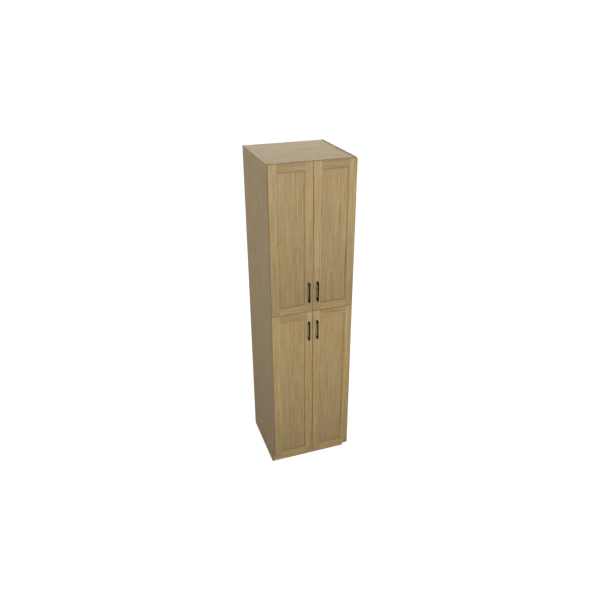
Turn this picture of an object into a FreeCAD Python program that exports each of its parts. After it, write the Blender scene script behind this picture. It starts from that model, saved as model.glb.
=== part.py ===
import FreeCAD, Part
import math
import os
from FreeCAD import Vector

# Tall broom cupboard: a frameless case with a recessed toe kick and four full-overlay doors,
# two above and two below a fixed shelf.  Every door is a five-piece frame-and-panel door on
# two concealed cup hinges.  Sizes are in millimetres.
# X runs to the right, Y to the back and Z up.  The origin lies on the floor, in the middle of
# the bounding box.  The case is symmetrical about X = 0: left-hand pieces are built, and
# right-hand ones are their mirror images.

# ---- case ----
cabinet_width = 609.6
cabinet_height = 2438.4
case_depth = 609.6            # side panels, from the front of the edge band to the back
side_thickness = 16.0
board_thickness = 16.0        # top, bottom and fixed shelf
band_thickness = 1.0          # solid oak edge band
top_drop = 1.5                # the top board lies this far below the side panels
back_thickness = 6.35
back_groove_depth = 8.0
rail_thickness = 16.0         # mounting rails behind the back panel
rail_height = 95.0
toe_height = 110.0            # floor to underside of the bottom board
toe_recess = 76.2             # toe board behind the front of the case
toe_board_thickness = 16.0
split_height = 1373.0         # middle of the fixed shelf and of the gap between doors

# ---- adjustable shelves ----
shelf_thickness = 16.0
shelf_setback = 30.0          # shelf front behind the front of the case
shelf_side_play = 1.0
shelf_back_play = 2.0
shelf_count = 2
pin_radius = 2.5
pin_hole_depth = 10.0
pin_shank = 9.5
pin_column_front = 67.0       # front pin column behind the front of the case
pin_column_back = 96.0        # back pin column in front of the back panel
pin_tab_length = 9.0
pin_tab_width = 8.0
pin_tab_thickness = 2.5

# ---- doors ----
door_thickness = 19.05
door_gap = 2.5                # door back to front of the case
side_reveal = 1.5
middle_gap = 3.0
split_gap = 3.0
top_reveal = 4.5
bottom_reveal = 0.0
stile_width = 60.3
rail_width = 57.2
groove_depth = 9.5
panel_thickness = 6.35
panel_recess = 9.0            # panel face behind the frame's face
panel_play = 0.5              # room for the panel at the bottom of its groove
bevel = 5.0                   # inner edge of the frame, 45 degrees
ease = 0.8                    # outer edge of the frame, 45 degrees

# ---- pulls ----
pull_centres = 128.0          # between the middles of the legs
pull_projection = 25.0
pull_width = 8.0              # across the door
pull_bar_thickness = 8.0
pull_leg_height = 20.0
pull_outer_radius = 5.0
pull_inner_radius = 6.0       # between leg and bar
pull_split_distance = 89.0    # nearer leg to the gap between upper and lower doors

# ---- concealed hinges ----
# Sizes ending in _x and _y place a pivot or bend of the left-hand hinge: in the cup they are
# measured from the cup's axis and the door's back, in the arm from the side panel's inner face
# and the front of the case.
door_opening = 90.0           # degrees
hinge_end_distance = 100.0    # first and last hinge from the ends of the door
cup_bore_radius = 17.5
cup_bore_depth = 12.7
cup_edge = 4.0                # bore to the door's hinge edge
cup_depth = 12.5
cup_fit = 0.05                # cup in its bore
well_front = 15.8             # well in the cup, from the axis to the hinge side
well_back = 12.0              # the same to the other side
cup_floor = 0.65
flange_thickness = 1.2
flange_side = 15.5            # flange from the axis, along the door's edge
flange_shoulder = 18.9        # the same where it meets the wings
flange_reach = 18.9           # from the axis towards the free edge
flange_cut = 9.0              # from the axis towards the hinge edge
wing_length = 29.0            # flange's wings, from the axis
wing_near = 3.0               # near edge of the wings, from the axis
wing_far = 16.0
wing_chamfer = 2.0
hinge_pin_radius = 1.25
hinge_pin_play = 0.06         # radial running clearance
slot_side_play = 0.55         # inner link's slot beside its pin
eye_wall = 1.0
link_half_width = 1.6
outer_cup_pivot_x = -11.32
outer_cup_pivot_y = -2.9
outer_bend_x = 2.47
outer_bend_y = -4.25
outer_arm_pivot_x = 13.5
outer_arm_pivot_y = 19.8
inner_cup_pivot_x = -6.23
inner_cup_pivot_y = -6.9
inner_bend_x = 6.46
inner_bend_y = -9.55
inner_arm_pivot_x = 20.97
inner_arm_pivot_y = 15.57
link_width = 6.0              # of each link, along the pins
link_play = 0.4               # between the links and beside them
arm_cheek_thickness = 1.4
arm_web_thickness = 1.4
arm_eye_radius = 2.7
arm_length = 84.0             # back end behind the front of the case
arm_floor_play = 1.0          # cheeks above the mounting plate
web_behind_pivot = 4.6        # web starts this far behind the outer arm pivot
plate_thickness = 2.2
plate_line = 37.0             # middle of the plate's wings behind the front of the case
plate_wing_length = 25.0
plate_wing_width = 16.0
plate_saddle_play = 0.1

# ---- positions worked out from the sizes above ----
half_width = cabinet_width / 2
inner_half = half_width - side_thickness
overall_depth = case_depth + door_gap + door_thickness + pull_projection
pull_front = -overall_depth / 2
door_front = pull_front + pull_projection
door_back = door_front + door_thickness
case_front = door_back + door_gap
case_back = case_front + case_depth
board_front = case_front + band_thickness
rail_front = case_back - rail_thickness
back_front = rail_front - back_thickness
top_face = cabinet_height - top_drop
top_underside = top_face - board_thickness
bottom_face = toe_height + board_thickness
fixed_underside = split_height - board_thickness / 2
fixed_face = fixed_underside + board_thickness
hinge_edge = -half_width + side_reveal      # left-hand doors
free_edge = -middle_gap / 2
shelf_space = (top_underside - fixed_face - shelf_count * shelf_thickness) / (shelf_count + 1)
shelf_undersides = [fixed_face + shelf_space + number * (shelf_space + shelf_thickness)
                    for number in range(shelf_count)]
upper_door = (split_height + split_gap / 2, cabinet_height - top_reveal)
lower_door = (toe_height + bottom_reveal, split_height - split_gap / 2)

side_face = -inner_half                     # inner face of the left side panel
cup_x = hinge_edge + cup_edge + cup_bore_radius
outer_cup_pivot = (cup_x + outer_cup_pivot_x, door_back + outer_cup_pivot_y)
outer_bend = (cup_x + outer_bend_x, door_back + outer_bend_y)
outer_arm_pivot = (side_face + outer_arm_pivot_x, case_front + outer_arm_pivot_y)
inner_cup_pivot = (cup_x + inner_cup_pivot_x, door_back + inner_cup_pivot_y)
inner_bend = (cup_x + inner_bend_x, door_back + inner_bend_y)
inner_arm_pivot = (side_face + inner_arm_pivot_x, case_front + inner_arm_pivot_y)
cheek_low = link_width + 1.5 * link_play
cheek_high = cheek_low + arm_cheek_thickness
eye_radius = hinge_pin_radius + hinge_pin_play + eye_wall
slot_radius = hinge_pin_radius + slot_side_play
arm_top = inner_arm_pivot[0] + arm_eye_radius
web_front = outer_arm_pivot[1] + web_behind_pivot
arm_back = case_front + arm_length


# ---- hinge motion, seen from above: the left door turns clockwise, its links the other way ----
def turned(point, centre, degrees):
    """Point turned anticlockwise about the centre."""
    a = math.radians(degrees)
    x, y = point[0] - centre[0], point[1] - centre[1]
    return (centre[0] + x * math.cos(a) - y * math.sin(a),
            centre[1] + x * math.sin(a) + y * math.cos(a))


def distance(p, q):
    return math.hypot(p[0] - q[0], p[1] - q[1])


def carried(point, link_swing, opening):
    """Where a point of the door goes when the outer link and the door have turned."""
    pivot = turned(outer_cup_pivot, outer_arm_pivot, link_swing)
    moved = (point[0] + pivot[0] - outer_cup_pivot[0], point[1] + pivot[1] - outer_cup_pivot[1])
    return turned(moved, pivot, -opening)


def direction(p, q):
    return math.degrees(math.atan2(q[1] - p[1], q[0] - p[0]))


def solve_outer_swing():
    """Turn of the outer link at full opening, from the lengths of the four bars."""
    cup_end = turned(inner_cup_pivot, outer_cup_pivot, -door_opening)
    base = (outer_arm_pivot[0] - outer_cup_pivot[0] + cup_end[0],
            outer_arm_pivot[1] - outer_cup_pivot[1] + cup_end[1])
    outer = distance(outer_arm_pivot, outer_cup_pivot)
    inner = distance(inner_arm_pivot, inner_cup_pivot)
    span = distance(base, inner_arm_pivot)
    corner = math.acos((inner ** 2 - outer ** 2 - span ** 2) / (2 * outer * span))
    return (direction(inner_arm_pivot, base) + math.degrees(corner)
            - direction(outer_arm_pivot, outer_cup_pivot)) % 360


outer_link_swing = solve_outer_swing()
inner_link_swing = (direction(inner_arm_pivot, carried(inner_cup_pivot, outer_link_swing,
                                                       door_opening))
                    - direction(inner_arm_pivot, inner_cup_pivot))


def slot_point(share):
    """Arm pin seen from the inner link, with all turns at this share of their full angle."""
    cup_end = carried(inner_cup_pivot, share * outer_link_swing, share * door_opening)
    arm_end = turned((inner_arm_pivot[0] + cup_end[0] - inner_cup_pivot[0],
                      inner_arm_pivot[1] + cup_end[1] - inner_cup_pivot[1]),
                     cup_end, share * inner_link_swing)
    gap = (inner_arm_pivot[0] - arm_end[0], inner_arm_pivot[1] - arm_end[1])
    offset = turned(gap, (0, 0), -share * inner_link_swing)
    return (inner_arm_pivot[0] + offset[0], inner_arm_pivot[1] + offset[1])


slot_end = max((slot_point(step / 20) for step in range(21)),
               key=lambda point: distance(point, inner_arm_pivot))

os.makedirs("parts", exist_ok=True)


def box(x0, x1, y0, y1, z0, z1):
    return Part.makeBox(x1 - x0, y1 - y0, z1 - z0, Vector(x0, y0, z0))


def rod(radius, start, direction, length):
    return Part.makeCylinder(radius, length, start, direction)


def prism(points, travel):
    """Closed polygon through the points, pushed along the travel vector."""
    wire = Part.makePolygon(points + [points[0]])
    return Part.Face(wire).extrude(travel)


def mirrored(shape):
    return shape.mirror(Vector(0, 0, 0), Vector(1, 0, 0))


def save(node, solids):
    shape = solids[0] if len(solids) == 1 else Part.makeCompound(solids)
    shape.exportStep("parts/" + node + ".step")


def save_pairs(node, solids):
    """Left-hand pieces and their mirror images in one node."""
    save(node, solids + [mirrored(solid) for solid in solids])


# ---- case ----
def side_panel(pin_holes):
    """Left side: notched for the toe kick, grooved for the back, bored for the shelf pins."""
    inner = -inner_half
    panel = box(-half_width, inner, board_front, case_back, 0, cabinet_height)
    notch = box(-half_width, inner, board_front, case_front + toe_recess, 0, toe_height)
    groove = box(inner - back_groove_depth, inner, back_front, rail_front, toe_height, top_face)
    return panel.cut([notch, groove] + pin_holes)


def back_panel():
    reach = inner_half + back_groove_depth
    return box(-reach, reach, back_front, rail_front, bottom_face, top_underside)


def mounting_rail(z_low):
    return box(-inner_half, inner_half, rail_front, case_back, z_low, z_low + rail_height)


def board(z_low, y_back):
    return box(-inner_half, inner_half, board_front, y_back, z_low, z_low + board_thickness)


def edge_bands():
    side = box(-half_width, -inner_half, case_front, board_front, toe_height, cabinet_height)
    strips = [side, mirrored(side)]
    for z_low in (toe_height, fixed_underside, top_underside):
        high = z_low + board_thickness
        strips.append(box(-inner_half, inner_half, case_front, board_front, z_low, high))
    return strips


def toe_board():
    front = case_front + toe_recess
    return box(-inner_half, inner_half, front, front + toe_board_thickness, 0, toe_height)


def adjustable_shelf(underside):
    reach = inner_half - shelf_side_play
    back = back_front - shelf_back_play
    return box(-reach, reach, case_front + shelf_setback, back,
               underside, underside + shelf_thickness)


def pin_columns():
    return (case_front + pin_column_front, back_front - pin_column_back)


def pin_height(underside):
    return underside - pin_tab_thickness - pin_radius


def shelf_pins():
    """Left-hand pins: a shank in the side panel and a flat tab that carries the shelf."""
    pins = []
    for underside in shelf_undersides:
        z = pin_height(underside)
        for y in pin_columns():
            shank = rod(pin_radius, Vector(-inner_half - pin_shank, y, z), Vector(1, 0, 0),
                        pin_shank + pin_tab_length)
            tab = box(-inner_half, -inner_half + pin_tab_length, y - pin_tab_width / 2,
                      y + pin_tab_width / 2, z, underside)
            pins.append(shank.fuse(tab).removeSplitter())
    return pins


def shelf_pin_holes():
    holes = []
    for underside in shelf_undersides:
        for y in pin_columns():
            start = Vector(-inner_half - pin_hole_depth, y, pin_height(underside))
            holes.append(rod(pin_radius, start, Vector(1, 0, 0), pin_hole_depth))
    return holes


# ---- doors ----
def stile(z_low, z_high):
    """Hinge stile: outer edge at the hinge side, groove and bevel towards the panel."""
    outer = hinge_edge
    inner = hinge_edge + stile_width
    floor = inner - groove_depth
    groove_front = door_front + panel_recess
    groove_back = groove_front + panel_thickness
    outline = [(outer + ease, door_front), (inner - bevel, door_front),
               (inner, door_front + bevel), (inner, groove_front), (floor, groove_front),
               (floor, groove_back), (inner, groove_back), (inner, door_back),
               (outer, door_back), (outer, door_front + ease)]
    points = [Vector(x, y, z_low) for x, y in outline]
    return prism(points, Vector(0, 0, z_high - z_low))


def across_door(shape):
    """Turn a piece about the door's upright middle line, to its other edge."""
    middle = (hinge_edge + free_edge) / 2
    return shape.mirror(Vector(middle, 0, 0), Vector(1, 0, 0))


def upside_down(shape, z_low, z_high):
    return shape.mirror(Vector(0, 0, (z_low + z_high) / 2), Vector(0, 0, 1))


def bottom_rail(z_low, stiles):
    """Rail with its tongues in the stiles' grooves, coped over their bevels."""
    inner = z_low + rail_width
    floor = inner - groove_depth
    groove_front = door_front + panel_recess
    groove_back = groove_front + panel_thickness
    outline = [(door_front, z_low + ease), (door_front, inner - bevel),
               (door_front + bevel, inner), (groove_front, inner), (groove_front, floor),
               (groove_back, floor), (groove_back, inner), (door_back, inner),
               (door_back, z_low), (door_front + ease, z_low)]
    start = hinge_edge + stile_width - groove_depth
    end = free_edge - stile_width + groove_depth
    points = [Vector(start, y, z) for y, z in outline]
    return prism(points, Vector(end - start, 0, 0)).cut(stiles)


def door_panel(z_low, z_high):
    side = stile_width - groove_depth + panel_play
    end = rail_width - groove_depth + panel_play
    front = door_front + panel_recess
    return box(hinge_edge + side, free_edge - side, front, front + panel_thickness,
               z_low + end, z_high - end)


# ---- pulls ----
def pull_axis():
    return free_edge - stile_width / 2


def pull_legs(z_low, z_high):
    """Leg heights: the upper doors' pulls hang low, the lower doors' pulls sit high."""
    if z_low > split_height:
        low = z_low + pull_split_distance - split_gap / 2
    else:
        low = z_high - pull_split_distance + split_gap / 2 - pull_centres
    return low, low + pull_centres


def quarter(centre, radius, start, end):
    """Quarter circle in an upright plane, between two angles from +Y."""
    points = []
    for angle in (start, (start + end) / 2, end):
        a = math.radians(angle)
        points.append(Vector(centre.x, centre.y + radius * math.cos(a),
                             centre.z + radius * math.sin(a)))
    return Part.Arc(*points).toShape()


def closed_face(arcs, first, last):
    """Closed face through the ends of the arcs, with straight runs between them."""
    edges = []
    at = first
    for arc in arcs:
        begin, end = arc.Vertexes[0].Point, arc.Vertexes[-1].Point
        edges += [Part.makeLine(at, begin), arc]
        at = end
    edges += [Part.makeLine(at, last), Part.makeLine(last, first)]
    return Part.Face(Part.Wire(edges))


def pull(legs):
    """Flat-sided bow: a bar on two legs, rounded outside and filleted inside."""
    x = pull_axis() - pull_width / 2
    low = legs[0] - pull_leg_height / 2
    high = legs[1] + pull_leg_height / 2
    front = door_front - pull_projection
    back = front + pull_bar_thickness
    outer = pull_outer_radius
    inner = pull_inner_radius
    bow = closed_face([quarter(Vector(x, front + outer, low + outer), outer, 270, 180),
                       quarter(Vector(x, front + outer, high - outer), outer, 180, 90)],
                      Vector(x, door_front, low), Vector(x, door_front, high))
    foot, head = low + pull_leg_height, high - pull_leg_height
    gap = closed_face([quarter(Vector(x, back + inner, foot + inner), inner, 270, 180),
                       quarter(Vector(x, back + inner, head - inner), inner, 180, 90)],
                      Vector(x, door_front, foot), Vector(x, door_front, head))
    across = Vector(pull_width, 0, 0)
    return bow.extrude(across).cut(gap.extrude(across))


# ---- hinges ----
def hinge_heights(z_low, z_high):
    return (z_low + hinge_end_distance, z_high - hinge_end_distance)


def upright(point, radius, z_low, z_high):
    return rod(radius, Vector(point[0], point[1], z_low), Vector(0, 0, 1), z_high - z_low)


def octagon(point, toward, radius):
    """Corners of an octagon about the point, its flats square to the direction."""
    start = math.radians(direction(point, toward) + 22.5)
    reach = radius / math.cos(math.radians(22.5))
    return [(point[0] + reach * math.cos(start + math.radians(45 * step)),
             point[1] + reach * math.sin(start + math.radians(45 * step)))
            for step in range(8)]


def strip(p, q, half_width):
    """Corners of a rectangle from p to q."""
    length = distance(p, q)
    side = ((p[1] - q[1]) / length * half_width, (q[0] - p[0]) / length * half_width)
    return [(p[0] + side[0], p[1] + side[1]), (q[0] + side[0], q[1] + side[1]),
            (q[0] - side[0], q[1] - side[1]), (p[0] - side[0], p[1] - side[1])]


def joined(outlines, z_low, z_high):
    """Upright plate that covers all the outlines."""
    plates = [prism([Vector(x, y, z_low) for x, y in outline], Vector(0, 0, z_high - z_low))
              for outline in outlines]
    return plates[0].fuse(plates[1:]).removeSplitter()


def outer_link(z):
    """Cranked link on the upper half of the pins."""
    low = z + link_play / 2
    high = low + link_width
    link = joined([octagon(outer_cup_pivot, outer_bend, eye_radius),
                   strip(outer_cup_pivot, outer_bend, link_half_width),
                   octagon(outer_bend, outer_cup_pivot, link_half_width),
                   strip(outer_bend, outer_arm_pivot, link_half_width),
                   octagon(outer_arm_pivot, outer_bend, eye_radius)], low, high)
    hole = hinge_pin_radius + hinge_pin_play
    return link.cut([upright(outer_cup_pivot, hole, low, high),
                     upright(outer_arm_pivot, hole, low, high)])


def inner_link(z):
    """Cranked link on the lower half: a round eye in the cup, a slotted eye in the arm."""
    high = z - link_play / 2
    low = high - link_width
    slot_eye = slot_radius + eye_wall
    link = joined([octagon(inner_cup_pivot, inner_bend, eye_radius),
                   strip(inner_cup_pivot, inner_bend, link_half_width),
                   octagon(inner_bend, inner_cup_pivot, link_half_width),
                   strip(inner_bend, inner_arm_pivot, link_half_width),
                   octagon(inner_arm_pivot, slot_end, slot_eye),
                   strip(inner_arm_pivot, slot_end, slot_eye),
                   octagon(slot_end, inner_arm_pivot, slot_eye)], low, high)
    slot = joined([strip(inner_arm_pivot, slot_end, slot_radius)], low, high)
    return link.cut([upright(inner_cup_pivot, hinge_pin_radius + hinge_pin_play, low, high),
                     slot.fuse([upright(inner_arm_pivot, slot_radius, low, high),
                                upright(slot_end, slot_radius, low, high)])])


def hinge_cup(z):
    """Cup with a well for the links and a winged flange; the link pins cross the well."""
    top = door_back + flange_thickness
    half_outline = [(-flange_cut, flange_side), (wing_near, flange_shoulder),
                    (wing_near, wing_length - wing_chamfer),
                    (wing_near + wing_chamfer, wing_length),
                    (wing_far - wing_chamfer, wing_length),
                    (wing_far, wing_length - wing_chamfer), (wing_far, flange_side),
                    (flange_reach, flange_side + wing_far - flange_reach)]
    outline = half_outline + [(x, -side) for x, side in reversed(half_outline)]
    flange = prism([Vector(cup_x + x, door_back, z + side) for x, side in outline],
                   Vector(0, flange_thickness, 0))
    cup = rod(cup_bore_radius - cup_fit, Vector(cup_x, door_back, z), Vector(0, -1, 0), cup_depth)
    well = cheek_low
    cup = cup.fuse(flange).cut(box(cup_x - well_front, cup_x + well_back,
                                   door_back - cup_depth + cup_floor, top, z - well, z + well))
    return cup.fuse([upright(pivot, hinge_pin_radius, z - well, z + well)
                     for pivot in (outer_cup_pivot, inner_cup_pivot)])


def cup_bore(z):
    return rod(cup_bore_radius, Vector(cup_x, door_back, z), Vector(0, -1, 0), cup_bore_depth)


def hinge_arm(z):
    """Pressed channel over the plate's saddle, with the two link pins across its cheeks."""
    floor = side_face + plate_thickness + arm_floor_play
    x, y = outer_arm_pivot
    nose = arm_eye_radius * math.tan(math.radians(22.5))
    outline = [(arm_top, inner_arm_pivot[1] - nose),
               (arm_top - arm_eye_radius + nose, inner_arm_pivot[1] - arm_eye_radius),
               (inner_arm_pivot[0] - nose, inner_arm_pivot[1] - arm_eye_radius),
               (x - nose, y - arm_eye_radius), (x - arm_eye_radius, y - nose),
               (floor, web_front), (floor, arm_back), (arm_top, arm_back)]
    arm = box(arm_top - arm_web_thickness, arm_top, web_front, arm_back,
              z - cheek_high, z + cheek_high)
    for low, high in ((cheek_low, cheek_high), (-cheek_high, -cheek_low)):
        arm = arm.fuse(prism([Vector(a, b, z + low) for a, b in outline],
                             Vector(0, 0, high - low)))
    return arm.removeSplitter().fuse([upright(pivot, hinge_pin_radius, z - cheek_low,
                                              z + cheek_low)
                                      for pivot in (outer_arm_pivot, inner_arm_pivot)])


def hinge_plate(z):
    """Winged base on the side panel with the saddle that the arm sits on."""
    line = case_front + plate_line
    saddle = cheek_low - plate_saddle_play
    wings = box(side_face, side_face + plate_thickness, line - plate_wing_width / 2,
                line + plate_wing_width / 2, z - plate_wing_length, z + plate_wing_length)
    block = box(side_face, arm_top - arm_web_thickness, web_front, arm_back,
                z - saddle, z + saddle)
    return wings.fuse(block).removeSplitter()


# ---- build the case ----
heights = hinge_heights(*upper_door) + hinge_heights(*lower_door)
left_side = side_panel(shelf_pin_holes())
save("left_side_panel", [left_side])
save("right_side_panel", [mirrored(left_side)])
save("top_board", [board(top_underside, case_back)])
save("bottom_board", [board(toe_height, case_back)])
save("fixed_shelf", [board(fixed_underside, back_front)])
save("back_panel", [back_panel()])
save("upper_mounting_rail", [mounting_rail(top_underside - rail_height)])
save("lower_mounting_rail", [mounting_rail(bottom_face)])
save("toe_board", [toe_board()])
save("edge_bands", edge_bands())
for number, underside in enumerate(shelf_undersides, 1):
    save("adjustable_shelf_" + str(number), [adjustable_shelf(underside)])
save_pairs("shelf_pins", shelf_pins())
save_pairs("hinge_arms", [hinge_arm(z) for z in heights])
save_pairs("hinge_plates", [hinge_plate(z) for z in heights])

# ---- build the doors ----
for level, (z_low, z_high) in (("upper", upper_door), ("lower", lower_door)):
    heights = hinge_heights(z_low, z_high)
    plain_stile = stile(z_low, z_high)
    far_stile = across_door(plain_stile)
    lower_rail = bottom_rail(z_low, [plain_stile, far_stile])
    pieces = {
        "hinge_stile": [plain_stile.cut([cup_bore(z) for z in heights])],
        "pull_stile": [far_stile],
        "bottom_rail": [lower_rail],
        "top_rail": [upside_down(lower_rail, z_low, z_high)],
        "panel": [door_panel(z_low, z_high)],
        "pull": [pull(pull_legs(z_low, z_high))],
        "hinge_cups": [hinge_cup(z) for z in heights],
        "outer_links": [outer_link(z) for z in heights],
        "inner_links": [inner_link(z) for z in heights],
    }
    for piece, solids in pieces.items():
        save(level + "_left_" + piece, solids)
        save(level + "_right_" + piece, [mirrored(solid) for solid in solids])
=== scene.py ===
import math

import bmesh
import bpy
from mathutils import Matrix, Vector


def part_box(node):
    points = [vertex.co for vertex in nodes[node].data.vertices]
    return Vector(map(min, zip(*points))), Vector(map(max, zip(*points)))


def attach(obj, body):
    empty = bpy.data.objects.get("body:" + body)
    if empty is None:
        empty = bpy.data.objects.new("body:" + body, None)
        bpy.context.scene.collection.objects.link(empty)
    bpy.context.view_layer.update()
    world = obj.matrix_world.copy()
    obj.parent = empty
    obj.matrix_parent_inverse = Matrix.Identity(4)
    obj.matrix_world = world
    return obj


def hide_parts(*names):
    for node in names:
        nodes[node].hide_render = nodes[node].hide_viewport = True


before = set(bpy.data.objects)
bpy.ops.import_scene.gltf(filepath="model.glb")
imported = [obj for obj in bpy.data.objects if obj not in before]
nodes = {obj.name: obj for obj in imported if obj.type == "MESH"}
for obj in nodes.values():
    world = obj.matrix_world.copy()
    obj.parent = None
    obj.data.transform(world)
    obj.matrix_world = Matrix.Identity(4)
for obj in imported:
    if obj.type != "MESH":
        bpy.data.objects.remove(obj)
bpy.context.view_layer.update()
bpy.ops.object.select_all(action="DESELECT")  # load leaves every node selected
print("frame loaded:", len(nodes), "nodes")


def linear(hexCode):  # sRGB hex to linear
    parts = [int(hexCode[i:i + 2], 16) / 255 for i in (1, 3, 5)]
    return [c / 12.92 if c <= 0.04045 else ((c + 0.055) / 1.055) ** 2.4 for c in parts] + [1]


def addNode(tree, kind, settings=None, inputs=None, stops=None):
    node = tree.nodes.new(kind)
    for name, value in (settings or {}).items():
        setattr(node, name, value)
    for name, value in (inputs or {}).items():
        if isinstance(value, bpy.types.NodeSocket):
            tree.links.new(value, node.inputs[name])
        else:
            node.inputs[name].default_value = value
    if stops:  # colour ramp: (place, hex) pairs
        ramp = node.color_ramp.elements
        while len(ramp) < len(stops):
            ramp.new(0.5)
        for element, (place, hexCode) in zip(ramp, stops):
            element.position = place
            element.color = linear(hexCode)
    return node


def newMaterial(name):
    made = bpy.data.materials.new(name)
    made.use_nodes = True
    tree = made.node_tree
    tree.nodes.clear()
    shader = addNode(tree, "ShaderNodeBsdfPrincipled")
    addNode(tree, "ShaderNodeOutputMaterial", inputs={"Surface": shader.outputs[0]})
    return made, tree, shader


def paint(node, made):
    node.data.materials.clear()
    node.data.materials.append(made)


def perMm(across, along):  # noise scale for marks of this size, in millimetres
    return (1000 / across, 1000 / across, 1000 / along)


# Rift-cut oak veneer under a thin matt lacquer: straight streaks of ochre and grey-green,
# short dark pores along the grain, a dull sheen that turns pale at a low angle.
oak = {
    "tones": [(0.30, "#8E764A"), (0.45, "#A38958"), (0.56, "#AC9365"), (0.70, "#B7A177")],
    "grey": "#A29777",
    "ochre": "#AE894D",
    "band": (8, 300),       # growth bands, mm across and along
    "drift": (11, 120),     # change between ochre and grey
    "streak": (6, 55),      # short streaks between the bands
    "fleck": (5, 22),       # ray flecks
    "fibre": (0.9, 80),     # wood fibres
    "pore": (0.7, 16),      # open pores, 0.3 mm wide on the tree, drawn wider so that they show
    "roughness": 0.52,
    "specular": 0.3,        # matt lacquer
    "relief": 0.00012,
    "pit": 0.35,            # how much a pore darkens the wood
    "poreRoughness": 0.75,
    "paintedFalloffCurve": 1.6,
    "uprightBands": 0.2885,  # upright edge bands lie further than this from the middle, metres
}


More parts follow.
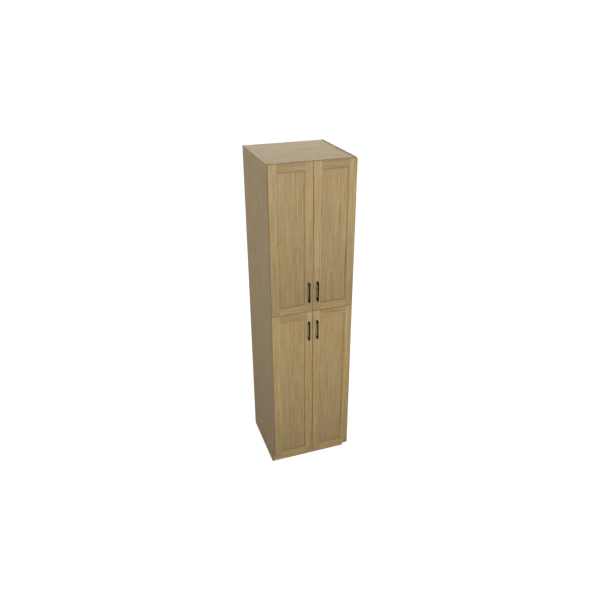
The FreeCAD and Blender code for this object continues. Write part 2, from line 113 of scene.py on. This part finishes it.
def oakMaterial(name, grain, board, tone=1.0, grey=0.5, contrast=1.0, paintedFalloff=None, rough=None,
                seamShadow=None, paintedUpFacing=None, greyTone=None, warm=0.7, sheen=None):
    made, tree, shader = newMaterial(name)
    place = addNode(tree, "ShaderNodeTexCoord").outputs["Object"]
    turn = {"z": (0, 0, 0), "x": (0, math.pi / 2, 0)}  # the grain runs along the turned z
    lying = {way: addNode(tree, "ShaderNodeMapping", inputs={
        "Vector": place, "Rotation": turn[way], "Location": board}).outputs[0]
        for way in grain}
    if len(grain) == 1:
        cut = lying[grain]
    else:  # upright bands outside, level bands between them
        side = addNode(tree, "ShaderNodeSeparateXYZ", inputs={0: place})
        far = addNode(tree, "ShaderNodeMath", {"operation": "ABSOLUTE"}, {0: side.outputs[0]})
        upright = addNode(tree, "ShaderNodeMath", {"operation": "GREATER_THAN"},
                          {0: far.outputs[0], 1: oak["uprightBands"]})
        cut = addNode(tree, "ShaderNodeMix", {"data_type": "VECTOR"},
                      {0: upright.outputs[0], 4: lying["x"], 5: lying["z"]}).outputs[1]

    def marks(size, detail, shift):
        spread = addNode(tree, "ShaderNodeMapping", inputs={
            "Vector": cut, "Scale": perMm(*size), "Location": (shift, shift * 0.7, shift * 1.3)})
        return addNode(tree, "ShaderNodeTexNoise", {"noise_dimensions": "3D"}, {
            "Vector": spread.outputs[0], "Scale": 1.0, "Detail": detail,
            "Roughness": 0.6}).outputs[0]

    band = marks(oak["band"], 4, 0)
    drift = marks(oak["drift"], 1, 7)
    streak = marks(oak["streak"], 3, 13)
    fibre = marks(oak["fibre"], 2, 29)
    fleck = marks(oak["fleck"], 1, 53)
    pore = marks(oak["pore"], 1, 41)

    wide = addNode(tree, "ShaderNodeMapRange", inputs={
        "Value": band, "From Min": 0.5 - 0.2 / contrast, "From Max": 0.5 + 0.2 / contrast,
        "To Min": 0.3, "To Max": 0.7})
    growth = addNode(tree, "ShaderNodeValToRGB", inputs={0: wide.outputs[0]}, stops=oak["tones"])
    greyShare = addNode(tree, "ShaderNodeMapRange", inputs={
        "Value": drift, "From Min": 0.42, "From Max": 0.62, "To Min": 0.0, "To Max": grey})
    greyed = addNode(tree, "ShaderNodeMix", {"data_type": "RGBA"}, {
        0: greyShare.outputs[0], 6: growth.outputs[0], 7: linear(greyTone or oak["grey"])})
    ochreShare = addNode(tree, "ShaderNodeMapRange", inputs={
        "Value": streak, "From Min": 0.5, "From Max": 0.68, "To Min": 0.0, "To Max": warm})
    warmed = addNode(tree, "ShaderNodeMix", {"data_type": "RGBA"}, {
        0: ochreShare.outputs[0], 6: greyed.outputs[2], 7: linear(oak["ochre"])})

    spots = addNode(tree, "ShaderNodeMapRange", inputs={
        "Value": fleck, "From Min": 0.3, "From Max": 0.7,
        "To Min": 0.94 * tone, "To Max": 1.06 * tone})
    fine = addNode(tree, "ShaderNodeMapRange", inputs={
        "Value": fibre, "From Min": 0.3, "From Max": 0.7,
        "To Min": 0.84, "To Max": 1.16})
    pit = addNode(tree, "ShaderNodeMapRange", {"interpolation_type": "SMOOTHSTEP"}, {
        "Value": pore, "From Min": 0.58, "From Max": 0.66, "To Min": 0.0, "To Max": 1.0})
    rows = addNode(tree, "ShaderNodeMapRange", inputs={  # pores crowd in the early wood
        "Value": band, "From Min": 0.6, "From Max": 0.4, "To Min": 0.25, "To Max": 1.0})
    pits = addNode(tree, "ShaderNodeMath", {"operation": "MULTIPLY"},
                   {0: pit.outputs[0], 1: rows.outputs[0]})
    dark = addNode(tree, "ShaderNodeMath", {"operation": "MULTIPLY_ADD"},
                   {0: pits.outputs[0], 1: -oak["pit"], 2: 1.0})
    level = addNode(tree, "ShaderNodeMath", {"operation": "MULTIPLY"},
                    {0: fine.outputs[0], 1: dark.outputs[0]})
    level = addNode(tree, "ShaderNodeMath", {"operation": "MULTIPLY"},
                    {0: level.outputs[0], 1: spots.outputs[0]})
    if seamShadow:  # painted shadow and a glue line where the board meets the sides, drawn as one dark line
        reach, width, shade = seamShadow
        across = addNode(tree, "ShaderNodeSeparateXYZ", inputs={0: place})
        off = addNode(tree, "ShaderNodeMath", {"operation": "ABSOLUTE"}, {0: across.outputs[0]})
        line = addNode(tree, "ShaderNodeMapRange", inputs={
            "Value": off.outputs[0], "From Min": reach - width, "From Max": reach,
            "To Min": 1.0, "To Max": shade})
        level = addNode(tree, "ShaderNodeMath", {"operation": "MULTIPLY"},
                        {0: level.outputs[0], 1: line.outputs[0]})
    if paintedUpFacing:  # painted light and shade: faces that point up are drawn lighter or darker by this factor, for how the light falls on them
        facing = addNode(tree, "ShaderNodeNewGeometry").outputs["Normal"]
        rise = addNode(tree, "ShaderNodeSeparateXYZ", inputs={0: facing})
        onTop = addNode(tree, "ShaderNodeMapRange", inputs={
            "Value": rise.outputs[2], "From Min": 0.3, "From Max": 0.6,
            "To Min": 1.0, "To Max": paintedUpFacing})
        level = addNode(tree, "ShaderNodeMath", {"operation": "MULTIPLY"},
                        {0: level.outputs[0], 1: onTop.outputs[0]})
    colour = addNode(tree, "ShaderNodeVectorMath", {"operation": "SCALE"},
                     {0: warmed.outputs[2], "Scale": level.outputs[0]}).outputs[0]
    if paintedFalloff:  # painted shade: the colour is drawn darker, and on the sides a little browner, towards the lower end, standing in for light that falls off towards the floor
        low, high, foot = paintedFalloff
        height = addNode(tree, "ShaderNodeSeparateXYZ", inputs={0: place})
        depth = addNode(tree, "ShaderNodeMapRange", inputs={
            "Value": height.outputs[2], "From Min": high, "From Max": low})
        share = addNode(tree, "ShaderNodeMath", {"operation": "POWER"},
                        {0: depth.outputs[0], 1: oak["paintedFalloffCurve"]})
        tint = addNode(tree, "ShaderNodeMix", {"data_type": "RGBA"}, {
            0: share.outputs[0], 6: (1, 1, 1, 1), 7: linear(foot)})
        colour = addNode(tree, "ShaderNodeVectorMath", {"operation": "MULTIPLY"},
                         {0: colour, 1: tint.outputs[2]}).outputs[0]
    tree.links.new(colour, shader.inputs["Base Color"])

    gloss = addNode(tree, "ShaderNodeMapRange", inputs={
        "Value": pits.outputs[0], "From Min": 0.0, "From Max": 1.0,
        "To Min": rough or oak["roughness"], "To Max": oak["poreRoughness"]})
    tree.links.new(gloss.outputs[0], shader.inputs["Roughness"])
    lie = addNode(tree, "ShaderNodeMath", {"operation": "SUBTRACT"},
                  {0: fibre, 1: pits.outputs[0]})
    grainRelief = addNode(tree, "ShaderNodeBump", inputs={
        "Strength": 0.35, "Distance": oak["relief"], "Height": lie.outputs[0]})
    tree.links.new(grainRelief.outputs[0], shader.inputs["Normal"])
    shader.inputs["IOR"].default_value = 1.5
    shader.inputs["Specular IOR Level"].default_value = oak["specular"] if sheen is None else sheen
    return made


# case boards: the sides' grain stands, the level boards' runs from side to side
# painted light and shade on the sides' up-facing top edges: the left is drawn lighter, the right
# darker
# painted shade: the sides' colour is drawn darker and browner towards the floor
caseBoards = {
    "left_side_panel": dict(grain="z", board=(0.13, 0.41, 0.0), grey=0.75, contrast=0.6,
                            tone=1.2, warm=0.25, paintedFalloff=(0.0, 2.44, "#D0C29C"), paintedUpFacing=1.1,
                            sheen=0.11, greyTone="#AB9D86"),
    "right_side_panel": dict(grain="z", board=(0.77, 1.93, 0.6), grey=0.75, contrast=0.6,
                             tone=1.12, warm=0.25, paintedFalloff=(0.0, 2.44, "#E4E0D6"), paintedUpFacing=0.68,
                             sheen=0.11, greyTone="#AB9D86"),
    "top_board": dict(grain="x", board=(1.21, 0.35, 1.7), tone=1.05, grey=0.35, contrast=1.1,
                      warm=0.6, seamShadow=(0.2888, 0.006, 0.4), sheen=0.33),
    "bottom_board": dict(grain="x", board=(2.31, 0.85, 0.2), grey=0.6),
    "fixed_shelf": dict(grain="x", board=(3.17, 1.35, 0.9), grey=0.6),
    "adjustable_shelf_1": dict(grain="x", board=(4.29, 2.15, 1.1), grey=0.6),
    "adjustable_shelf_2": dict(grain="x", board=(5.37, 2.75, 2.3), grey=0.6),
    "upper_mounting_rail": dict(grain="x", board=(6.43, 3.25, 1.9), grey=0.6),
    "lower_mounting_rail": dict(grain="x", board=(7.53, 3.85, 0.4), grey=0.6),
    "toe_board": dict(grain="x", board=(8.61, 4.35, 2.9), grey=0.5),
    "edge_bands": dict(grain="xz", board=(9.71, 4.85, 3.3), tone=0.94, grey=0.5),
    "back_panel": dict(grain="z", board=(1.83, 5.45, 1.3), tone=1.1, grey=0.5, contrast=0.6,
                       warm=0.4, rough=0.62),
}
for name, look in caseBoards.items():
    paint(nodes[name], oakMaterial("oakBoard." + name, **look))
print("case boards finished")

doors = ["upper_left", "upper_right", "lower_left", "lower_right"]
doorLook = {
    "hinge_stile": dict(grain="z", tone=1.05, grey=0.45),
    "pull_stile": dict(grain="z", tone=1.05, grey=0.45),
    "panel": dict(grain="z", tone=0.985, grey=0.5, contrast=0.95),
    "top_rail": dict(grain="x", tone=0.86, grey=0.35),
    # painted shade: the bottom rail's up-facing bevel is drawn darker
    "bottom_rail": dict(grain="x", tone=0.905, grey=0.28, contrast=0.8, paintedUpFacing=0.72),
}
for d, door in enumerate(doors):
    low = min(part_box(door + "_hinge_stile")[0].z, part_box(door + "_pull_stile")[0].z)
    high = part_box(door + "_hinge_stile")[1].z
    for p, (part, look) in enumerate(doorLook.items()):
        board = (0.37 + 1.13 * d + 0.31 * p, 0.59 * p + 0.23 * d, 0.71 * d + 1.9 * p)
        # painted shade: upright door parts are drawn darker towards the door's foot
        paintedFalloff = (low, high, "#E1E1E1") if look["grain"] == "z" else None
        made = oakMaterial("solidOak.%s_%s" % (door, part), board=board, paintedFalloff=paintedFalloff, **look)
        paint(nodes["%s_%s" % (door, part)], made)
print("doors finished")

# Nickel-plated pressed steel: pale warm grey with a soft, slightly uneven shine
# from the rolled strip, and faint lines along it.
nickel = {"colour": "#C6C3BA", "shade": "#A9A69D", "roughness": (0.24, 0.38), "line": (0.4, 14)}
zinc = {"colour": "#B9BBBD", "shade": "#8F9296", "roughness": (0.3, 0.46), "line": (0.3, 6)}


def platedMaterial(name, colour, shade, roughness, line):
    made, tree, shader = newMaterial(name)
    place = addNode(tree, "ShaderNodeTexCoord").outputs["Object"]
    spread = addNode(tree, "ShaderNodeMapping",
                     inputs={"Vector": place, "Scale": perMm(*line)})
    rolled = addNode(tree, "ShaderNodeTexNoise", inputs={
        "Vector": spread.outputs[0], "Scale": 1.0, "Detail": 2})
    cloudy = addNode(tree, "ShaderNodeTexNoise", inputs={
        "Vector": place, "Scale": 1000 / 9, "Detail": 3})
    tint = addNode(tree, "ShaderNodeMix", {"data_type": "RGBA"}, {
        0: cloudy.outputs[0], 6: linear(shade), 7: linear(colour)})
    dull = addNode(tree, "ShaderNodeMapRange", inputs={
        "Value": rolled.outputs[0], "From Min": 0.3, "From Max": 0.7,
        "To Min": roughness[0], "To Max": roughness[1]})
    tree.links.new(tint.outputs[2], shader.inputs["Base Color"])
    tree.links.new(dull.outputs[0], shader.inputs["Roughness"])
    shader.inputs["Metallic"].default_value = 1.0
    return made


nickelSteel = platedMaterial("nickelPlatedSteel", **nickel)
zincSteel = platedMaterial("zincPlatedSteel", **zinc)
for name in ["hinge_arms", "hinge_plates", "shelf_pins"]:
    paint(nodes[name], nickelSteel)
for door in doors:
    for part in ["hinge_cups", "outer_links", "inner_links"]:
        paint(nodes["%s_%s" % (door, part)], nickelSteel)

# Matt black powder coat on a zinc casting: near black and faintly brown,
# with the fine orange-peel texture of baked powder.
powder = {"colour": "#090807", "worn": "#0E0C0A", "peel": 0.9, "roughness": 0.76}
powderCoat, tree, shader = newMaterial("blackPowderCoat")
place = addNode(tree, "ShaderNodeTexCoord").outputs["Object"]
peel = addNode(tree, "ShaderNodeTexNoise", inputs={
    "Vector": place, "Scale": 1000 / powder["peel"], "Detail": 2})
cloud = addNode(tree, "ShaderNodeTexNoise", inputs={
    "Vector": place, "Scale": 1000 / 12, "Detail": 2})
tint = addNode(tree, "ShaderNodeMix", {"data_type": "RGBA"}, {
    0: cloud.outputs[0], 6: linear(powder["colour"]), 7: linear(powder["worn"])})
dull = addNode(tree, "ShaderNodeMapRange", inputs={
    "Value": peel.outputs[0], "From Min": 0.3, "From Max": 0.7,
    "To Min": powder["roughness"] - 0.06, "To Max": powder["roughness"] + 0.08})
skin = addNode(tree, "ShaderNodeBump", inputs={
    "Strength": 0.3, "Distance": 0.00008, "Height": peel.outputs[0]})
tree.links.new(tint.outputs[2], shader.inputs["Base Color"])
tree.links.new(dull.outputs[0], shader.inputs["Roughness"])
tree.links.new(skin.outputs[0], shader.inputs["Normal"])
shader.inputs["Specular IOR Level"].default_value = 0.07
print("metals finished")


def editAll():
    bpy.ops.object.mode_set(mode="EDIT")
    bpy.ops.mesh.select_all(action="SELECT")


def finishMesh(piece, name, edge, parts):
    bpy.ops.mesh.select_all(action="SELECT")
    bpy.ops.mesh.remove_doubles(threshold=0.00001)
    bpy.ops.mesh.normals_make_consistent(inside=False)
    bpy.ops.object.mode_set(mode="OBJECT")
    piece.name = name
    if edge:
        soft = piece.modifiers.new("soft edges", "BEVEL")
        soft.width, soft.segments, soft.limit_method = edge, parts, "ANGLE"
        bpy.ops.object.modifier_apply(modifier=soft.name)
    bpy.ops.object.transform_apply(location=True, rotation=True, scale=True)
    bpy.ops.object.shade_smooth_by_angle(angle=math.radians(40))
    piece.select_set(False)
    return piece


def copyOf(piece, name, move=(0, 0, 0), turn=None):
    made = piece.copy()
    made.data = piece.data.copy()
    made.name = name
    bpy.context.scene.collection.objects.link(made)
    if turn:
        made.data.transform(turn)
    made.data.transform(Matrix.Translation(move))
    made.data.update()
    return made


def pickEdges(test):  # edges whose middle passes the test
    bpy.ops.mesh.select_mode(type="EDGE")
    bpy.ops.mesh.select_all(action="DESELECT")
    shape = bmesh.from_edit_mesh(bpy.context.active_object.data)
    for edge in shape.edges:
        middle = (edge.verts[0].co + edge.verts[1].co) / 2
        edge.select = test(middle)
    bmesh.update_edit_mesh(bpy.context.active_object.data)


def block(low, high):
    bpy.ops.mesh.primitive_cube_add(size=1, location=(low + high) / 2, scale=high - low)
    bpy.ops.object.transform_apply(location=True, rotation=True, scale=True)
    return bpy.context.active_object


def cutAway(piece, cutter):
    bpy.ops.object.select_all(action="DESELECT")
    bpy.context.view_layer.objects.active = piece
    piece.select_set(True)
    cut = piece.modifiers.new("cut", "BOOLEAN")
    cut.operation, cut.solver, cut.object = "DIFFERENCE", "EXACT", cutter
    bpy.ops.object.modifier_apply(modifier=cut.name)


# pulls: a flat-sided bow cut from the block, rounded outside and filleted between leg and bar
pull = {"thickness": 0.008, "leg": 0.020, "outer": 0.005, "inner": 0.006, "edge": 0.0009}


def pullPiece(name, box):
    low, high = box
    near = low.y + pull["thickness"]
    bow = block(low, high)
    editAll()
    pickEdges(lambda m: abs(m.y - low.y) < 1e-5 and abs(m.x - (low.x + high.x) / 2) < 1e-5)
    bpy.ops.mesh.bevel(offset=pull["outer"], segments=7, affect="EDGES")
    bpy.ops.object.mode_set(mode="OBJECT")
    inside = block(Vector((low.x - 0.01, near, low.z + pull["leg"])),
                   Vector((high.x + 0.01, high.y + 0.01, high.z - pull["leg"])))
    editAll()
    pickEdges(lambda m: abs(m.y - near) < 1e-5 and abs(m.x - (low.x + high.x) / 2) < 1e-5)
    bpy.ops.mesh.bevel(offset=pull["inner"], segments=8, affect="EDGES")
    bpy.ops.object.mode_set(mode="OBJECT")
    cutAway(bow, inside)
    bpy.data.objects.remove(inside)
    editAll()
    return finishMesh(bow, name, pull["edge"], 3)


firstPull = pullPiece("upper_left_pull_bar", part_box("upper_left_pull"))
paint(firstPull, powderCoat)
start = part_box("upper_left_pull")[0]
for door in doors:
    bar = firstPull
    if door != "upper_left":
        bar = copyOf(firstPull, door + "_pull_bar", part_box(door + "_pull")[0] - start)
    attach(bar, door + "_door")
    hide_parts(door + "_pull")
print("pulls modelled")

# screw heads: a low domed disc with a cross recess, modelled once and set in every place
hardware = {
    "pullScrew": {"radius": 0.0042, "height": 0.0022, "recess": 0.0012},
    "hingeScrew": {"radius": 0.0036, "height": 0.0016, "recess": 0.0011},
    "armScrew": {"radius": 0.0030, "height": 0.0010, "recess": 0.0009},
    "cupScrewSide": 0.0095,   # from the cup's axis towards the free edge
    "cupScrewRise": 0.0225,   # above and below the cup's axis
    "plateScrewRise": 0.0160,
    "hingeEnd": 0.100,        # hinges from the door's ends
    "cupAxis": 0.0215,        # from the door's hinge edge
    "flange": 0.0012,
    "plate": 0.0022,
    "plateLine": 0.037,       # behind the front of the case
    "armTop": 0.02367,        # above the side panel
    "armScrews": (0.050, 0.070),
}


def screwHead(name, radius, height, recess):
    bpy.ops.mesh.primitive_cylinder_add(vertices=24, radius=radius, depth=height,
                                        location=(0, 0, height / 2))
    head = bpy.context.active_object
    bpy.ops.object.transform_apply(location=True, rotation=True, scale=True)
    editAll()
    pickEdges(lambda m: m.z > height - 1e-6)
    bpy.ops.mesh.bevel(offset=height * 0.6, segments=3, affect="EDGES")
    bpy.ops.object.mode_set(mode="OBJECT")
    wide = Vector((radius * 0.62, recess / 2, 0))
    floorZ = height * 0.4
    for arm in (wide, Vector((wide.y, wide.x, 0))):
        bar = block(Vector((-arm.x, -arm.y, floorZ)), Vector((arm.x, arm.y, height * 2)))
        cutAway(head, bar)
        bpy.data.objects.remove(bar)
    editAll()
    return finishMesh(head, name, 0, 0)


def setOf(head, name, places, made, body):
    bpy.ops.object.select_all(action="DESELECT")
    copies = [copyOf(head, "%s.%d" % (name, n), turn=place) for n, place in enumerate(places)]
    for piece in copies:
        piece.select_set(True)
    bpy.context.view_layer.objects.active = copies[0]
    bpy.ops.object.join()
    joined = bpy.context.active_object
    joined.name = name
    joined.select_set(False)
    paint(joined, made)
    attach(joined, body)
    return joined


def facing(way, x, y, z):  # stands the head's axis along the way and sets it down
    turn = Vector((0, 0, 1)).rotation_difference(Vector(way)).to_matrix().to_4x4()
    return Matrix.Translation((x, y, z)) @ turn


heads = {kind: screwHead(kind, **hardware[kind])
         for kind in ("pullScrew", "hingeScrew", "armScrew")}
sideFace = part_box("left_side_panel")[1].x
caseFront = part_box("edge_bands")[0].y
plateScrews = []
armScrews = []
for door in doors:
    hand = -1 if door.endswith("left") else 1
    low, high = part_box(door + "_hinge_stile")
    hingeEdge = low.x if hand < 0 else high.x
    back = high.y
    levels = (low.z + hardware["hingeEnd"], high.z - hardware["hingeEnd"])
    cupX = hingeEdge - hand * (hardware["cupAxis"] + hardware["cupScrewSide"])
    cups = [facing((0, 1, 0), cupX, back + hardware["flange"], z + side * hardware["cupScrewRise"])
            for z in levels for side in (-1, 1)]
    setOf(heads["hingeScrew"], door + "_cup_screws", cups, zincSteel, door + "_door")
    faceX = hand * -sideFace
    for z in levels:
        for side in (-1, 1):
            plateScrews.append(facing((-hand, 0, 0), faceX - hand * hardware["plate"],
                                      caseFront + hardware["plateLine"],
                                      z + side * hardware["plateScrewRise"]))
        for behind in hardware["armScrews"]:
            armScrews.append(facing((-hand, 0, 0), faceX - hand * hardware["armTop"],
                                    caseFront + behind, z))
    barLow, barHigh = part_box(door + "_pull")
    middle = (barLow.x + barHigh.x) / 2
    legs = (barLow.z + pull["leg"] / 2, barHigh.z - pull["leg"] / 2)
    setOf(heads["pullScrew"], door + "_pull_screws",
          [facing((0, 1, 0), middle, back, z) for z in legs], zincSteel, door + "_door")
setOf(heads["hingeScrew"], "plate_screws", plateScrews, zincSteel, "case")
setOf(heads["armScrew"], "arm_screws", armScrews, zincSteel, "case")
for head in heads.values():
    bpy.data.objects.remove(head)
print("screws set")

# Clear silicone door buffers: a soft milky dome that the door closes on.
buffer = {"radius": 0.003, "height": 0.0022, "fromEdge": 0.012,
          "drop": {"upper": (0.0065, 0.0035), "lower": (0.0033, 0.008)}}
silicone, tree, shader = newMaterial("clearSilicone")
place = addNode(tree, "ShaderNodeTexCoord").outputs["Object"]
milk = addNode(tree, "ShaderNodeTexNoise", inputs={
    "Vector": place, "Scale": 1000 / 2.5, "Detail": 2})
tint = addNode(tree, "ShaderNodeMix", {"data_type": "RGBA"}, {
    0: milk.outputs[0], 6: linear("#C9C7BF"), 7: linear("#DCDAD3")})
dull = addNode(tree, "ShaderNodeMapRange", inputs={
    "Value": milk.outputs[0], "To Min": 0.25, "To Max": 0.4})
tree.links.new(tint.outputs[2], shader.inputs["Base Color"])
tree.links.new(dull.outputs[0], shader.inputs["Roughness"])
shader.inputs["IOR"].default_value = 1.41
shader.inputs["Transmission Weight"].default_value = 0.35
bpy.ops.mesh.primitive_cylinder_add(vertices=24, radius=buffer["radius"],
                                    depth=buffer["height"], location=(0, 0, buffer["height"] / 2))
dome = bpy.context.active_object
bpy.ops.object.transform_apply(location=True, rotation=True, scale=True)
editAll()
pickEdges(lambda m: m.z > buffer["height"] - 1e-6)
bpy.ops.mesh.bevel(offset=buffer["height"] * 0.7, segments=5, affect="EDGES")
finishMesh(dome, "dome", 0, 0)
for door in doors:
    low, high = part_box(door + "_pull_stile")
    left = door.endswith("left")
    x = high.x - buffer["fromEdge"] if left else low.x + buffer["fromEdge"]
    fromTop, fromFoot = buffer["drop"][door.split("_")[0]]
    setOf(dome, door + "_buffers",
          [facing((0, 1, 0), x, high.y, z) for z in (high.z - fromTop, low.z + fromFoot)],
          silicone, door + "_door")
bpy.data.objects.remove(dome)
print("buffers set")

# spare shelf-pin holes: 5 mm across, 32 mm apart, drawn as thin dark discs on the sides; their
# dark brown is painted shade inside the hollow over the bored core
pinHoles = {"radius": 0.0025, "thickness": 0.0002, "ease": 0.00008, "pitch": 0.032,
            "below": 7, "above": 19, "filled": (0, 11),
            "front": 0.067, "back": 0.096}  # columns from the case's front and the back board
holeShade, tree, shader = newMaterial("boredCoreInShade")
place = addNode(tree, "ShaderNodeTexCoord").outputs["Object"]
chip = addNode(tree, "ShaderNodeTexNoise", inputs={
    "Vector": place, "Scale": 1000 / 0.8, "Detail": 2})
tint = addNode(tree, "ShaderNodeMix", {"data_type": "RGBA"}, {
    0: chip.outputs[0], 6: linear("#1D150D"), 7: linear("#3A2C1C")})
tree.links.new(tint.outputs[2], shader.inputs["Base Color"])
shader.inputs["Roughness"].default_value = 0.9
bpy.ops.mesh.primitive_cylinder_add(vertices=16, radius=pinHoles["radius"],
                                    depth=pinHoles["thickness"], end_fill_type="NGON",
                                    location=(0, 0, pinHoles["thickness"] / 2))
hole = bpy.context.active_object
bpy.ops.object.transform_apply(location=True, rotation=True, scale=True)
editAll()
pickEdges(lambda m: m.z > pinHoles["thickness"] * 0.95)
bpy.ops.mesh.bevel(offset=pinHoles["ease"], segments=1, affect="EDGES")
finishMesh(hole, "hole", 0, 0)
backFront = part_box("back_panel")[0].y
columns = (caseFront + pinHoles["front"], backFront - pinHoles["back"])
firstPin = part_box("adjustable_shelf_1")[0].z - pinHoles["radius"]
rows = [n for n in range(-pinHoles["below"], pinHoles["above"] + 1) if n not in pinHoles["filled"]]
places = [facing((-hand, 0, 0), hand * -sideFace, y, firstPin + n * pinHoles["pitch"])
          for hand in (-1, 1) for y in columns for n in rows]
setOf(hole, "pin_holes", places, holeShade, "case")
bpy.data.objects.remove(hole)
print("pin holes set")


def seenDirectly(tree):  # 1 for rays from the camera, a reflection or a clear piece
    path = addNode(tree, "ShaderNodeLightPath")
    shine = addNode(tree, "ShaderNodeMath", {"operation": "MAXIMUM"}, {
        0: path.outputs["Is Glossy Ray"], 1: path.outputs["Is Transmission Ray"]})
    return addNode(tree, "ShaderNodeMath", {"operation": "MAXIMUM"}, {
        0: path.outputs["Is Camera Ray"], 1: shine.outputs[0]}).outputs[0]


# the floor takes the shadow and stays near white to the eye
stage = {"size": 60, "bounce": "#5C5C5C", "seen": "#7C7C7C", "glow": 0.95}
bpy.ops.mesh.primitive_plane_add(size=stage["size"], location=(0, 0, 0))
floor = bpy.context.active_object
floor.name = "floor"
floor.select_set(False)
paper = bpy.data.materials.new("whitePaper")
paper.use_nodes = True
tree = paper.node_tree
tree.nodes.clear()
eye = seenDirectly(tree)
bounce = addNode(tree, "ShaderNodeBsdfDiffuse", inputs={"Color": linear(stage["bounce"])})
shaded = addNode(tree, "ShaderNodeBsdfDiffuse", inputs={"Color": linear(stage["seen"])})
glow = addNode(tree, "ShaderNodeEmission", inputs={
    "Color": (1, 1, 1, 1), "Strength": stage["glow"]})
seen = addNode(tree, "ShaderNodeAddShader", inputs={0: shaded.outputs[0], 1: glow.outputs[0]})
mixed = addNode(tree, "ShaderNodeMixShader", inputs={
    0: eye, 1: bounce.outputs[0], 2: seen.outputs[0]})
addNode(tree, "ShaderNodeOutputMaterial", inputs={"Surface": mixed.outputs[0]})
paint(floor, paper)

room = {"light": 0.42}
world = bpy.data.worlds.new("studio")
bpy.context.scene.world = world
world.use_nodes = True
tree = world.node_tree
tree.nodes.clear()
eye = seenDirectly(tree)
soft = addNode(tree, "ShaderNodeBackground", inputs={
    "Color": (1, 1, 1, 1), "Strength": room["light"]})
white = addNode(tree, "ShaderNodeBackground", inputs={"Color": (1, 1, 1, 1), "Strength": 1.0})
mixed = addNode(tree, "ShaderNodeMixShader", inputs={
    0: eye, 1: soft.outputs[0], 2: white.outputs[0]})
addNode(tree, "ShaderNodeOutputWorld", inputs={"Surface": mixed.outputs[0]})

lamps = {
    "overhead": dict(energy=14, place=(0.2, 0.1, 5.0), aim=(0, 0, 2.4), size=2.4),
    "frontBox": dict(energy=144, place=(0.5, -4.6, 2.2), aim=(0, -0.3, 1.3), size=2.6),
    "leftBox": dict(energy=24, place=(-3.4, -0.6, 3.0), aim=(-0.3, 0, 1.6), size=1.6),
    "rightBox": dict(energy=24, place=(3.6, 0.4, 2.2), aim=(0.3, 0, 1.4), size=1.8),
    "backBox": dict(energy=80, place=(1.2, 3.9, 2.0), aim=(0, 0.3, 1.3), size=2.4),
}
for name, lamp in lamps.items():
    bpy.ops.object.light_add(type="AREA", location=lamp["place"])
    light = bpy.context.active_object
    light.name = name
    light.data.energy = lamp["energy"]
    light.data.size = lamp["size"]
    way = Vector(lamp["aim"]) - Vector(lamp["place"])
    light.rotation_euler = way.to_track_quat("-Z", "Y").to_euler()
    light.visible_camera = False
    light.select_set(False)

camera = {"place": (-1.28446, -3.75926, 3.28515), "yaw": 18.967, "pitch": 26.333,
          "roll": -0.287, "lens": 35}
bpy.ops.object.camera_add()
eyePoint = bpy.context.active_object
eyePoint.name = "camera"
eyePoint.data.lens = camera["lens"]
eyePoint.data.sensor_width = 36
eyePoint.data.clip_end = 200
eyePoint.matrix_world = (
    Matrix.Translation(camera["place"])
    @ Matrix.Rotation(math.radians(-camera["yaw"]), 4, "Z")
    @ Matrix.Rotation(math.radians(90 - camera["pitch"]), 4, "X")
    @ Matrix.Rotation(math.radians(camera["roll"]), 4, "Z")
)
bpy.context.scene.camera = eyePoint
bpy.context.scene.view_settings.view_transform = "Standard"
print("floor, lamps and camera set")
